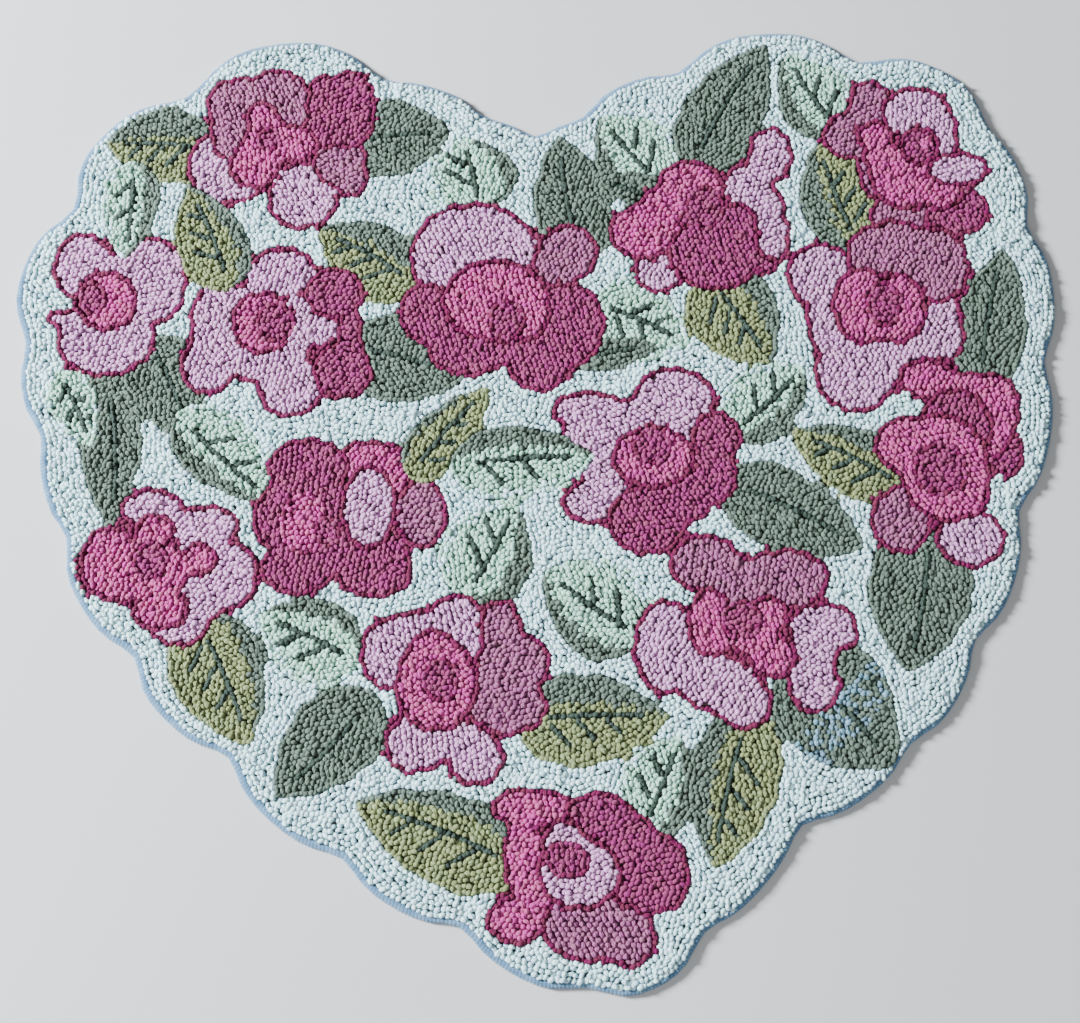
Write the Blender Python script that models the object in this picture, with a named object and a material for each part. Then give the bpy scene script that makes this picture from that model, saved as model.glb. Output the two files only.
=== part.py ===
"""Heart-shaped hooked rug with a scalloped edge: its hooked field and its whipped yarn binding."""
import math
from collections import namedtuple

import bmesh
import bpy
import numpy as np

MM = 0.001

# Driving dimensions
PILE_HEIGHT = 10 * MM
BINDING_WIDTH = 6.6 * MM
BINDING_HEIGHT = 6.6 * MM
PIECE_GAP = 0.3 * MM
OUTLINE_STEP = 14 * MM
SCALLOP_FULLNESS = 2.8
SMOOTH_ANGLE = math.radians(50)

# The edge's scallops, anticlockwise from the notch between the heart's lobes. Each starts in a
# valley at x, y, stands out from the line to the next valley by bulge, and is highest at lean,
# a share of the way along. Millimetres from the middle of the rug.
Scallop = namedtuple("Scallop", "x y bulge lean")
SCALLOPS = (
    Scallop(-1, 368, 5, 0.45),
    Scallop(-60, 394, 14.5, 0.40),
    Scallop(-162, 433, 56, 0.50),
    Scallop(-367, 412, 40.5, 0.55),
    Scallop(-476, 288, 34, 0.50),
    Scallop(-517, 145, 15.5, 0.50),
    Scallop(-496, 50, 14.5, 0.57),
    Scallop(-463, -53, 25, 0.45),
    Scallop(-389, -171, 24, 0.42),
    Scallop(-294, -266, 23, 0.48),
    Scallop(-182, -361, 20, 0.50),
    Scallop(-70, -423, 22, 0.60),
    Scallop(47, -478, 31, 0.47),
    Scallop(157, -428, 16, 0.42),
    Scallop(252, -330, 19, 0.52),
    Scallop(360, -254, 19, 0.45),
    Scallop(427, -155, 22, 0.45),
    Scallop(478, -27, 22.5, 0.50),
    Scallop(514, 126, 23, 0.55),
    Scallop(505, 271, 18.5, 0.42),
    Scallop(474, 380, 39, 0.47),
    Scallop(340, 451, 44, 0.50),
    Scallop(151, 440, 18.5, 0.55),
    Scallop(51, 390, 5, 0.45),
)

# Sections, from the floor up. Inset is measured inwards from the edge of each piece.
Level = namedtuple("Level", "inset height")
FIELD_SIDE = (
    Level(0, 0),
    Level(0, 0.52 * PILE_HEIGHT),
    Level(0.7 * MM, 0.74 * PILE_HEIGHT),
    Level(2.6 * MM, 0.90 * PILE_HEIGHT),
    Level(5.6 * MM, 0.98 * PILE_HEIGHT),
    Level(9.0 * MM, PILE_HEIGHT),
)
BINDING_SECTION = (
    Level(0.16 * BINDING_WIDTH, 0),
    Level(0.03 * BINDING_WIDTH, 0.24 * BINDING_HEIGHT),
    Level(0, 0.50 * BINDING_HEIGHT),
    Level(0.10 * BINDING_WIDTH, 0.78 * BINDING_HEIGHT),
    Level(0.32 * BINDING_WIDTH, 0.97 * BINDING_HEIGHT),
    Level(0.62 * BINDING_WIDTH, BINDING_HEIGHT),
    Level(0.90 * BINDING_WIDTH, 0.84 * BINDING_HEIGHT),
    Level(BINDING_WIDTH, 0.66 * BINDING_HEIGHT),
    Level(BINDING_WIDTH, 0),
)

# Finishes, as linear colours
Finish = namedtuple("Finish", "name colour roughness")
PILE_WOOL = Finish("pile_wool", (0.61, 0.73, 0.78), 0.95)
BINDING_YARN = Finish("binding_yarn", (0.24, 0.43, 0.65), 0.90)


def clear_scene():
    for obj in list(bpy.data.objects):
        bpy.data.objects.remove(obj, do_unlink=True)


def scallop_points(scallop, next_scallop):
    """Points from one valley up to, but not including, the next one."""
    start = np.array([scallop.x, scallop.y]) * MM
    chord = np.array([next_scallop.x, next_scallop.y]) * MM - start
    length = np.hypot(*chord)
    outward = np.array([chord[1], -chord[0]]) / length
    steps = max(4, round(length / OUTLINE_STEP))
    share = np.arange(steps) / steps
    rising = share / scallop.lean
    falling = (1 - share) / (1 - scallop.lean)
    from_crest = 1 - np.minimum(rising, falling)
    swell = scallop.bulge * MM * (1 - from_crest ** SCALLOP_FULLNESS)
    return start + share[:, None] * chord + swell[:, None] * outward


def rug_outline():
    """The rug's edge seen from above, anticlockwise, with its box centred on the origin."""
    runs = [scallop_points(scallop, SCALLOPS[(i + 1) % len(SCALLOPS)]) for i, scallop in enumerate(SCALLOPS)]
    points = np.concatenate(runs)
    softened = 0.5 * points + 0.25 * (np.roll(points, 1, axis=0) + np.roll(points, -1, axis=0))
    return softened - 0.5 * (softened.min(axis=0) + softened.max(axis=0))


def inset(outline, distance):
    """The outline moved inwards by the same distance all round, with mitred corners."""
    edge = np.roll(outline, -1, axis=0) - outline
    edge /= np.linalg.norm(edge, axis=1)[:, None]
    normal = np.stack([-edge[:, 1], edge[:, 0]], axis=1)
    mitre = normal + np.roll(normal, 1, axis=0)
    mitre *= 2 / (mitre ** 2).sum(axis=1)[:, None]
    return outline + distance * mitre


def add_ring(shape, outline, level):
    return [shape.verts.new((x, y, level.height)) for x, y in inset(outline, level.inset)]


def join_rings(shape, lower, upper):
    for i in range(len(lower)):
        after = (i + 1) % len(lower)
        shape.faces.new((lower[i], lower[after], upper[after], upper[i]))


def finish_material(finish):
    material = bpy.data.materials.new(finish.name)
    material.use_nodes = True
    shader = material.node_tree.nodes["Principled BSDF"]
    shader.inputs["Base Color"].default_value = (*finish.colour, 1)
    shader.inputs["Roughness"].default_value = finish.roughness
    shader.inputs["Metallic"].default_value = 0
    return material


def add_piece(name, shape, finish):
    bmesh.ops.triangulate(shape, faces=shape.faces)
    mesh = bpy.data.meshes.new(name)
    shape.to_mesh(mesh)
    shape.free()
    mesh.shade_smooth()
    mesh.set_sharp_from_angle(angle=SMOOTH_ANGLE)
    mesh.materials.append(finish_material(finish))
    bpy.context.scene.collection.objects.link(bpy.data.objects.new(name, mesh))


def build_hooked_field(outline):
    """The backing and its pile as one flat slab, with the pile's rim rounded down."""
    shape = bmesh.new()
    edge = inset(outline, BINDING_WIDTH + PIECE_GAP)
    rings = [add_ring(shape, edge, level) for level in FIELD_SIDE]
    for lower, upper in zip(rings, rings[1:]):
        join_rings(shape, lower, upper)
    shape.faces.new(rings[0][::-1])
    shape.faces.new(rings[-1])
    add_piece("hooked_field", shape, PILE_WOOL)


def build_whipped_binding(outline):
    """The roll of whipped yarn round the rug's edge, flat where it lies on the floor."""
    shape = bmesh.new()
    rings = [add_ring(shape, outline, level) for level in BINDING_SECTION]
    for lower, upper in zip(rings, rings[1:] + rings[:1]):
        join_rings(shape, lower, upper)
    add_piece("whipped_binding", shape, BINDING_YARN)


def main():
    clear_scene()
    outline = rug_outline()
    build_hooked_field(outline)
    build_whipped_binding(outline)


main()
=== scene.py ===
"""Looks of the hooked rug: wool loops on a woven backing, its whipped edge, the floor, light and camera."""
import math
from collections import namedtuple

import bpy
import numpy as np
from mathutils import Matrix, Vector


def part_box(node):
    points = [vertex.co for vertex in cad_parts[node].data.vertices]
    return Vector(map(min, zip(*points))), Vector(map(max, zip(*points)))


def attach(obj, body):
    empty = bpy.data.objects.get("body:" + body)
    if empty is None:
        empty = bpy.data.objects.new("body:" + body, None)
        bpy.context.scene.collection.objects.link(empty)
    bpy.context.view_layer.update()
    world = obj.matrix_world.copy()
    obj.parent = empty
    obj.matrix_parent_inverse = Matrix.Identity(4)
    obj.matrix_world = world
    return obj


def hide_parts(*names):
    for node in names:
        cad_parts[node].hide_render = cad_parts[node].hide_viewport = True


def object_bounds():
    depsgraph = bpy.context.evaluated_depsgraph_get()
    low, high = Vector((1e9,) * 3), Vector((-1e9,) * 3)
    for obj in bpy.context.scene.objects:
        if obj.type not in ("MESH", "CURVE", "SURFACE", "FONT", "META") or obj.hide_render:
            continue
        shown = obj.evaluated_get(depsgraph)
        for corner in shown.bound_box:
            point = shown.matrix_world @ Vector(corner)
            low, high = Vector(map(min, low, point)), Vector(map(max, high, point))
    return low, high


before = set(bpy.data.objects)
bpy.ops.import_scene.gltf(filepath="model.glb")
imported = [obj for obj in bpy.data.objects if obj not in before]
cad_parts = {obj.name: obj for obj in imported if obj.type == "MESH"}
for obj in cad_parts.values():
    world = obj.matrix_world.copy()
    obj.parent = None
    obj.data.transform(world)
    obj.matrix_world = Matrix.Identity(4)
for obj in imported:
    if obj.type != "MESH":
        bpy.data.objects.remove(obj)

CAD_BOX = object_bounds()
MM = 0.001
FIELD = "hooked_field"
BINDING = "whipped_binding"

rng = np.random.default_rng(14)

# The chart: roses and leaves where a rug hooker would draw them on the backing, in millimetres on a
# grid of the chart's own, whose origin lies at CHART_ORIGIN in the rug's frame.
CHART_ORIGIN = np.array([4.9, -28.3])

# An oval has its middle and its half lengths. A petal is one or more ovals run together. A leaf's dark
# side is 1 for the left of the way from its base to its tip, minus 1 for the right and 0 for none, and
# the dark starts at dark_from, a share of the half width.
Oval = namedtuple("Oval", "x y across up")
Petal = namedtuple("Petal", "yarn outlined ovals")
Rose = namedtuple("Rose", "x y petals")
Leaf = namedtuple("Leaf", "kind base_x base_y tip_x tip_y width dark_side dark_from", defaults=(0, 0))


def petal(yarn, *ovals):
    return Petal(yarn, True, [Oval(*oval) for oval in ovals])


def shade(yarn, *ovals):
    """A patch inside a petal, with only a broken dark line round it."""
    return Petal(yarn, False, [Oval(*oval) for oval in ovals])


ROSES = (
    Rose(-284, 395, (
        petal("pink", (-322, 366, 47, 44)),
        petal("pink", (-246, 332, 38, 38)),
        petal("mauve", (-208, 370, 29, 30), (-197, 350, 18, 21)),
        petal("rose", (-199, 428, 28, 45), (-222, 432, 34, 36), (-222, 405, 26, 22)),
        petal("mauve", (-317, 430, 34, 36), (-277, 443, 36, 31), (-260, 420, 20, 18), (-328, 398, 18, 26)),
        petal("hot", (-291, 420, 19, 18), (-260, 389, 30, 22), (-297, 366, 29, 28), (-284, 394, 27, 24)),
        shade("rose", (-284, 395, 14, 15)),
    )),
    Rose(-443, 218, (
        petal("pink", (-470, 254, 31, 38), (-401, 238, 40, 49), (-438, 246, 26, 24), (-441, 177, 51, 41),
              (-486, 199, 16, 11)),
        petal("hot", (-443, 218, 32, 33)),
        shade("rose", (-458, 221, 15, 19)),
    )),
    Rose(-282, 195, (
        petal("pink", (-266, 247, 38, 29), (-331, 199, 27, 40), (-336, 152, 30, 34), (-283, 185, 58, 56),
              (-252, 126, 34, 32), (-220, 192, 20, 24)),
        petal("rose", (-210, 226, 31, 29), (-200, 144, 31, 31), (-193, 184, 14, 24)),
        petal("hot", (-282, 195, 33, 34)),
        shade("rose", (-270, 195, 21, 23)),
    )),
    Rose(-34, 197, (
        petal("pink", (-68, 286, 58, 39), (-105, 262, 30, 36), (-30, 274, 30, 28)),
        petal("mauve", (29, 270, 32, 32), (16, 256, 25, 26)),
        petal("rose", (-116, 204, 28, 33), (-72, 168, 44, 31), (0, 158, 36, 38), (27, 192, 41, 46)),
        petal("hot", (-45, 218, 56, 45), (-16, 202, 28, 28)),
        shade("rose", (-33, 198, 20, 22)),
    )),
    Rose(171, 319, (
        petal("pink", (122, 252, 27, 27)),
        petal("pink", (241, 377, 25, 32), (218, 340, 28, 30), (236, 288, 24, 36), (232, 318, 24, 26)),
        petal("hot", (157, 345, 36, 27), (108, 292, 38, 31), (128, 320, 26, 24)),
        petal("rose", (180, 268, 49, 40), (203, 300, 24, 26), (232, 257, 14, 11)),
        shade("rose", (171, 319, 22, 25)),
    )),
    Rose(398, 387, (
        petal("mauve", (348, 440, 23, 22), (320, 398, 25, 27), (342, 412, 24, 26), (348, 366, 18, 40),
              (382, 310, 42, 26)),
        petal("pink", (396, 424, 38, 31), (426, 400, 14, 28)),
        petal("rose", (432, 317, 35, 30)),
        petal("hot", (350, 399, 20, 17), (357, 375, 20, 26), (378, 350, 34, 34), (415, 338, 27, 23)),
        petal("pink", (436, 361, 33, 20)),
        petal("rose", (398, 387, 22, 22)),
        shade("hot", (406, 391, 7, 8)),
    )),
    Rose(350, 214, (
        petal("pink", (290, 244, 37, 37), (300, 196, 29, 40), (321, 144, 44, 45), (362, 162, 36, 32),
              (388, 176, 26, 24), (411, 190, 23, 38)),
        petal("mauve", (367, 275, 44, 31), (408, 256, 35, 42), (338, 268, 24, 24)),
        petal("hot", (332, 212, 34, 42), (366, 210, 31, 38)),
        shade("rose", (352, 214, 19, 26)),
    )),
    Rose(400, 42, (
        petal("mauve", (358, -10, 31, 35)),
        petal("pink", (426, -28, 35, 31)),
        petal("rose", (466, 58, 20, 25)),
        petal("hot", (392, 135, 30, 23), (430, 120, 40, 24), (462, 110, 23, 31), (440, 88, 40, 40)),
        petal("rose", (420, 84, 37, 42)),
        petal("hot", (372, 66, 37, 31), (403, 50, 48, 50), (408, 20, 42, 33)),
        shade("rose", (400, 42, 28, 28)),
    )),
    Rose(112, 62, (
        petal("pink", (48, 103, 37, 20), (136, 118, 42, 30), (76, 84, 54, 32), (152, 94, 26, 24),
              (54, 8, 33, 23), (66, 46, 29, 36)),
        petal("rose", (178, 74, 26, 28), (172, 37, 26, 31), (107, -10, 40, 36), (142, 12, 36, 25)),
        petal("hot", (114, 54, 43, 33)),
        shade("rose", (112, 65, 20, 19)),
    )),
    Rose(-215, -15, (
        petal("hot", (-169, 50, 37, 22), (-144, 30, 14, 28)),
        petal("rose", (-232, 42, 42, 32), (-252, -8, 34, 36), (-214, 6, 22, 34), (-240, -58, 37, 28),
              (-164, -60, 40, 29), (-205, -38, 32, 24), (-150, -36, 22, 16)),
        petal("mauve", (-118, -4, 27, 36)),
        petal("pink", (-170, 3, 29, 44)),
        shade("hot", (-234, -14, 25, 32)),
        shade("rose", (-209, -22, 14, 18)),
    )),
    Rose(-385, -50, (
        petal("pink", (-386, 2, 33, 21), (-332, -18, 35, 24), (-306, -66, 30, 35), (-352, -114, 31, 22),
              (-338, -76, 40, 38), (-345, -40, 30, 26)),
        petal("hot", (-425, -52, 30, 37), (-372, -99, 29, 22), (-336, -49, 19, 17), (-381, -20, 22, 17),
              (-380, -60, 36, 32), (-407, -74, 22, 20)),
        shade("rose", (-385, -50, 18, 20)),
    )),
    Rose(-97, -168, (
        petal("pink", (-121, -228, 30, 30), (-62, -240, 28, 30), (-90, -225, 40, 22)),
        petal("pink", (-145, -142, 31, 37), (-82, -114, 31, 31), (-114, -126, 40, 28), (-66, -134, 18, 34)),
        petal("mauve", (-38, -118, 22, 30), (-16, -152, 27, 29), (-46, -156, 20, 28), (-32, -192, 40, 30)),
        petal("hot", (-100, -172, 42, 46), (-106, -136, 22, 18)),
        shade("rose", (-96, -168, 19, 22)),
    )),
    Rose(197, -109, (
        petal("mauve", (164, -53, 37, 30), (242, -69, 44, 31), (202, -72, 40, 26)),
        petal("pink", (277, -118, 36, 27), (266, -170, 27, 31), (266, -142, 25, 24)),
        petal("pink", (123, -136, 33, 47), (172, -170, 40, 30), (198, -190, 29, 26)),
        petal("hot", (167, -111, 24, 35), (224, -104, 21, 20), (226, -144, 26, 24), (202, -120, 30, 24)),
        shade("rose", (197, -109, 21, 20)),
    )),
    Rose(26, -340, (
        petal("hot", (-14, -288, 33, 19), (14, -292, 24, 18), (-16, -335, 20, 42), (-22, -392, 30, 23),
              (-4, -374, 18, 18)),
        petal("rose", (57, -295, 33, 22), (112, -349, 31, 38), (81, -326, 34, 36), (88, -366, 26, 22)),
        petal("mauve", (46, -398, 46, 33), (84, -408, 27, 29)),
        petal("pink", (24, -326, 24, 28), (38, -350, 41, 34)),
        shade("rose", (26, -337, 22, 18)),
    )),
)

LEAVES_BEHIND = (
    Leaf("olive", -338, 384, -453, 389, 82, -1, 0.30),
    Leaf("dark", -198, 392, -95, 402, 88),
    Leaf("pale", -64, 318, -80, 396, 96, -1, 0.66),
    Leaf("dark", 45, 258, 20, 397, 82),
    Leaf("pale", 128, 344, 66, 418, 92, 1, 0.60),
    Leaf("dark", 142, 328, 62, 350, 40),
    Leaf("dark", 158, 362, 238, 499, 86),
    Leaf("pale", 316, 402, 262, 490, 84, 1, 0.55),
    Leaf("olive", 330, 276, 292, 390, 88, 1, 0.32),
    Leaf("olive", -124, 234, -228, 294, 82, -1, 0.32),
    Leaf("olive", 170, 244, 234, 152, 94, 1, 0.50),
    Leaf("pale", 56, 216, 150, 172, 90),
    Leaf("dark", 36, 154, 120, 170, 34),
    Leaf("dark", 446, 126, 478, 272, 74),
    Leaf("dark", -192, 170, -76, 136, 92),
    Leaf("dark", -398, 176, -350, 74, 80),
    Leaf("dark", -437, 140, -424, -16, 66),
    Leaf("pale", -364, 99, -264, 10, 72, -1, 0.50),
    Leaf("pale", -488, 142, -450, 66, 50),
    Leaf("pale", 192, 80, 268, 148, 76, -1, 0.45),
    Leaf("olive", 368, 22, 254, 80, 72, -1, 0.50),
    Leaf("dark", 184, 30, 320, -38, 82),
    Leaf("dark", 386, -22, 358, -159, 104),
    Leaf("pale", -74, -86, -24, 5, 94, -1, 0.52),
    Leaf("pale", 100, -126, 6, -60, 98, 1, 0.62),
    Leaf("olive", -338, -106, -280, -228, 92, 1, 0.66),
    Leaf("pale", -178, -150, -274, -106, 86, -1, 0.60),
    Leaf("dark", -160, -184, -252, -277, 86),
    Leaf("olive", -20, -208, 124, -203, 90, 1, 0.38),
    Leaf("olive", -16, -346, -174, -284, 88, -1, 0.58),
    Leaf("pale", 94, -314, 134, -222, 80, -1, 0.52),
    Leaf("flecked", 244, -148, 340, -248, 116),
    Leaf("olive", 202, -200, 166, -345, 88, -1, 0.46),
)
LEAVES_ABOVE = (
    Leaf("pale", -424, 368, -428, 264, 62, 1, 0.50),
    Leaf("olive", -318, 232, -364, 340, 76, -1, 0.52),
    Leaf("olive", -130, 34, -53, 124, 60, 1, 0.75),
    Leaf("pale", -88, 44, 56, 54, 76, 1, 0.46),
)

# Yarns: linear colours, how much single loops differ from each other, and how much of its colour a
# loop keeps at its foot, where its colour is darkened as painted shade. Dark wool has more than 1, so
# that the pits between its loops don't turn black.
Yarn = namedtuple("Yarn", "colour spread depth")
YARNS = {
    "ground": Yarn((0.610, 0.890, 1.0), 0.20, 0.08),
    "pink": Yarn((0.568, 0.278, 0.503), 0.18, 0.24),
    "mauve": Yarn((0.271, 0.082, 0.176), 0.15, 1.00),
    "hot": Yarn((0.388, 0.054, 0.194), 0.13, 1.10),
    "rose": Yarn((0.208, 0.029, 0.101), 0.12, 1.40),
    "raspberry": Yarn((0.118, 0.0085, 0.043), 0.14, 1.20),
    "sage": Yarn((0.098, 0.132, 0.105), 0.32, 0.95),
    "olive": Yarn((0.195, 0.226, 0.103), 0.26, 0.70),
    "mint": Yarn((0.390, 0.628, 0.500), 0.20, 0.16),
    "vein": Yarn((0.034, 0.052, 0.041), 0.25, 0.80),
    "fleck": Yarn((0.160, 0.277, 0.343), 0.20, 0.50),
}

# Rows of loops, in millimetres
ROW_PITCH = 5.2
LOOP_PITCH = 5.6
LINE_PITCH = 4.4
LINE_WIDTH = 5.6
CLEAR_OF_LINES = 4.3
CLEAR_OF_FILL = 4.7
JITTER = 0.60
FILL_WAVE = 1.6
LEAF_BRANCHING = math.radians(32)

# How the spacing of the loops is evened out, in millimetres
VOID_RADIUS = 3.9
VOID_ROUNDS = 3
RELAX_REACH = 5.8
RELAX_SHARE = 0.20
RELAX_STEP = 0.8
RELAX_ROUNDS = 4
BUCKET_ROOM = 5

# One loop, in millimetres, and how much the loops differ from each other
LOOP_HALF_LENGTH = 4.0
LOOP_HALF_WIDTH = 3.1
LOOP_SLANT = math.radians(18)
TURN_SPREAD = 0.5
LENGTH_SPREAD = 0.13
WIDTH_SPREAD = 0.10
OUTLINE_SPREAD = 0.10
HEIGHT_SPREAD = 0.7
TILT_SPREAD = 0.55
TONE_SPREAD = 0.22

# Near the rug's edge a loop leans over the binding: how much lower its top then is for each
# millimetre of lean, the most that it is lowered, and how early the lean bends over
LEAN_DROP = 0.45
LEAN_DROP_MOST = 1.6
LEAN_BEND = 1.3

# Heights above the floor, in millimetres
BACKING_TOP = 1.9
PILE_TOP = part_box(FIELD)[1][2] / MM
LOOP_TOP = PILE_TOP - 0.1

# The grid on which the chart is painted and the edges of its shapes, in millimetres, and the share
# of the loops round a shade that are dark
CELL = 1.0
RUFFLE = 1.5
JOIN_SOFTNESS = 9.0
SLIVER = 4.0
RIM_DEPTH = 0.6 * LINE_WIDTH
SHADE_RIM_SHARE = 0.5

# Leaves: what makes the width in the table the widest place, how far two yarns mix where they meet,
# which loops of a pale leaf fade into the ground, and where a flecked leaf has its flecks
LEAF_FULLNESS = 1.19
YARN_MIXING = 0.05
FADE_FROM = 0.74
FADE_SHARE = 0.45
FLECK_MIDDLE = 0.55
FLECK_REACH = 0.14
FLECK_SHARE = 0.5

# How much of the binding the pile leaves bare, and where its loops stand, in millimetres from the edge
BINDING_BARE_LEFT = 9.0
BINDING_BARE_RIGHT = 4.2
BASE_FROM_EDGE = 9.2


def node_mesh(name):
    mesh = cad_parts[name].data
    points = np.empty(len(mesh.vertices) * 3)
    mesh.vertices.foreach_get("co", points)
    faces = np.array([polygon.vertices for polygon in mesh.polygons])
    return points.reshape(-1, 3) / MM, faces


def enclosed_area(outline):
    """More than zero for an anticlockwise outline."""
    x, y = outline[:, 0], outline[:, 1]
    return 0.5 * (np.dot(x, np.roll(y, -1)) - np.dot(y, np.roll(x, -1)))


def outer_loop(pairs, places):
    """Walks oriented point pairs into closed runs and returns the places along the outermost."""
    after = dict(pairs)
    outlines = []
    while after:
        point = next(iter(after))
        run = []
        while point in after:
            run.append(point)
            point = after.pop(point)
        outlines.append(places[run])
    return max(outlines, key=enclosed_area)


def floor_outline(name):
    """The outer edge of a node's flat underside, seen from above, anticlockwise."""
    points, faces = node_mesh(name)
    keys = np.round(points, 3)
    unique, index = np.unique(keys, axis=0, return_inverse=True)
    faces = index.reshape(-1)[faces]
    low = (unique[faces][:, :, 2] < 0.01).all(axis=1)
    edges = [(int(face[i]), int(face[(i + 1) % 3])) for face in faces[low] for i in range(3)]
    known = set(edges)
    rim = [(b, a) for a, b in edges if (b, a) not in known]
    return outer_loop(rim, unique[:, :2])


def inset(outline, distance):
    """The outline moved inwards by the same distance all round, with mitred corners."""
    edge = np.roll(outline, -1, axis=0) - outline
    edge /= np.linalg.norm(edge, axis=1)[:, None]
    normal = np.stack([-edge[:, 1], edge[:, 0]], axis=1)
    mitre = normal + np.roll(normal, 1, axis=0)
    mitre *= 2 / (mitre ** 2).sum(axis=1)[:, None]
    return outline + distance * mitre


def closed(outline):
    return np.vstack([outline, outline[:1]])


def lengths_along(run):
    """How far along a run each of its points is."""
    steps = np.linalg.norm(np.diff(run, axis=0), axis=1)
    return np.concatenate([[0], np.cumsum(steps)])


def points_at(run, along, wanted):
    """The points of a run at the wanted distances along it."""
    return np.stack([np.interp(wanted, along, run[:, i]) for i in (0, 1)], axis=1)


def resampled(outline, step):
    """The closed outline with a point about every step, at even distances."""
    run = closed(outline)
    along = lengths_along(run)
    count = int(round(along[-1] / step))
    return points_at(run, along, np.arange(count) * along[-1] / count)


def outline_normals(outline, reach):
    """Unit normals that point out of an anticlockwise outline, evened out over reach points each way."""
    ahead = np.roll(outline, -reach, axis=0) - np.roll(outline, reach, axis=0)
    ahead /= np.linalg.norm(ahead, axis=1)[:, None]
    return np.stack([ahead[:, 1], -ahead[:, 0]], axis=1)


# Everything flat from here on is in chart millimetres.
BINDING_FOOT = floor_outline(BINDING) - CHART_ORIGIN
BINDING_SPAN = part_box(BINDING)[1][0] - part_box(BINDING)[0][0]
BINDING_OVERHANG = 0.5 * BINDING_SPAN / MM - 0.5 * np.ptp(BINDING_FOOT[:, 0])
RUG_EDGE = inset(BINDING_FOOT, -BINDING_OVERHANG)
FIELD_EDGE = floor_outline(FIELD) - CHART_ORIGIN


def pile_edge():
    """Where the pile ends: it shows more of the binding on the left than on the right."""
    edge = resampled(RUG_EDGE, 4.0)
    normal = outline_normals(edge, 1)
    toward_left = 0.5 - 0.5 * (0.94 * normal[:, 0] + 0.34 * normal[:, 1])
    along = np.linspace(0, 2 * math.pi, len(edge), endpoint=False)
    uneven = 0.5 * np.sin(23 * along) + 0.5 * np.sin(61 * along + 1.0)
    bare = BINDING_BARE_RIGHT + (BINDING_BARE_LEFT - BINDING_BARE_RIGHT) * toward_left ** 1.4 + 0.7 * uneven
    return edge - bare[:, None] * normal


# What a cell of the chart's grid belongs to: a shape's number, the ground, or nothing off the pile
OUTSIDE = -1
GROUND = 0
GRID_LOW = np.floor(RUG_EDGE.min(axis=0)) - 4
GRID_SHAPE = tuple((np.ceil((RUG_EDGE.max(axis=0) - GRID_LOW) / CELL).astype(int) + 4)[::-1])
CELL_X = GRID_LOW[0] + (np.arange(GRID_SHAPE[1]) + 0.5) * CELL
CELL_Y = GRID_LOW[1] + (np.arange(GRID_SHAPE[0]) + 0.5) * CELL


def cell_of(points):
    """Row and column of the grid cell that holds each point."""
    index = np.floor((points - GRID_LOW) / CELL).astype(int)
    column = np.clip(index[:, 0], 0, GRID_SHAPE[1] - 1)
    row = np.clip(index[:, 1], 0, GRID_SHAPE[0] - 1)
    return row, column


def inside_outline(outline):
    """Which cells lie inside a closed outline."""
    mask = np.zeros(GRID_SHAPE, bool)
    start, end = outline, np.roll(outline, -1, axis=0)
    for row, y in enumerate(CELL_Y):
        crossing = (start[:, 1] <= y) != (end[:, 1] <= y)
        a, b = start[crossing], end[crossing]
        cuts = np.sort(a[:, 0] + (y - a[:, 1]) / (b[:, 1] - a[:, 1]) * (b[:, 0] - a[:, 0]))
        mask[row] = np.searchsorted(cuts, CELL_X) % 2 == 1
    return mask


def overlap(size, shift):
    """The part of a row of cells that is still covered when the row is moved on."""
    return slice(max(shift, 0), size + min(shift, 0))


def shifted(grid, rows, columns, filler):
    """The grid moved by whole cells, with filler where nothing moves in."""
    out = np.full_like(grid, filler)
    height, width = grid.shape
    source = grid[overlap(height, -rows), overlap(width, -columns)]
    out[overlap(height, rows), overlap(width, columns)] = source
    return out


def nearest_seed(seeds, reach):
    """Distance from each cell to the nearest seed cell, and that cell's row and column."""
    far = -1.0e4
    rows = np.arange(GRID_SHAPE[0], dtype=np.float32)[:, None]
    columns = np.arange(GRID_SHAPE[1], dtype=np.float32)[None, :]
    seed_row = np.where(seeds, rows, far).astype(np.float32)
    seed_column = np.where(seeds, columns, far).astype(np.float32)
    best = (rows - seed_row) ** 2 + (columns - seed_column) ** 2
    steps = [reach >> halving for halving in range(reach.bit_length())] + [1]
    for step in steps:
        for down in (-step, 0, step):
            for right in (-step, 0, step):
                if down == 0 and right == 0:
                    continue
                other_row = shifted(seed_row, down, right, far)
                other_column = shifted(seed_column, down, right, far)
                distance = (rows - other_row) ** 2 + (columns - other_column) ** 2
                closer = distance < best
                best = np.where(closer, distance, best)
                seed_row = np.where(closer, other_row, seed_row)
                seed_column = np.where(closer, other_column, seed_column)
    return np.sqrt(best) * CELL, seed_row, seed_column


# Which two sides of a cell a contour joins, for each set of corners below zero. Sides are
# bottom 0, right 1, top 2 and left 3, and the part below zero is on the walker's left.
CELL_WALKS = {
    1: ((0, 3),), 2: ((1, 0),), 3: ((1, 3),), 4: ((2, 1),), 5: ((0, 3), (2, 1)),
    6: ((2, 0),), 7: ((2, 3),), 8: ((3, 2),), 9: ((0, 2),), 10: ((1, 0), (3, 2)),
    11: ((1, 2),), 12: ((3, 1),), 13: ((0, 1),), 14: ((3, 0),),
}


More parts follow.
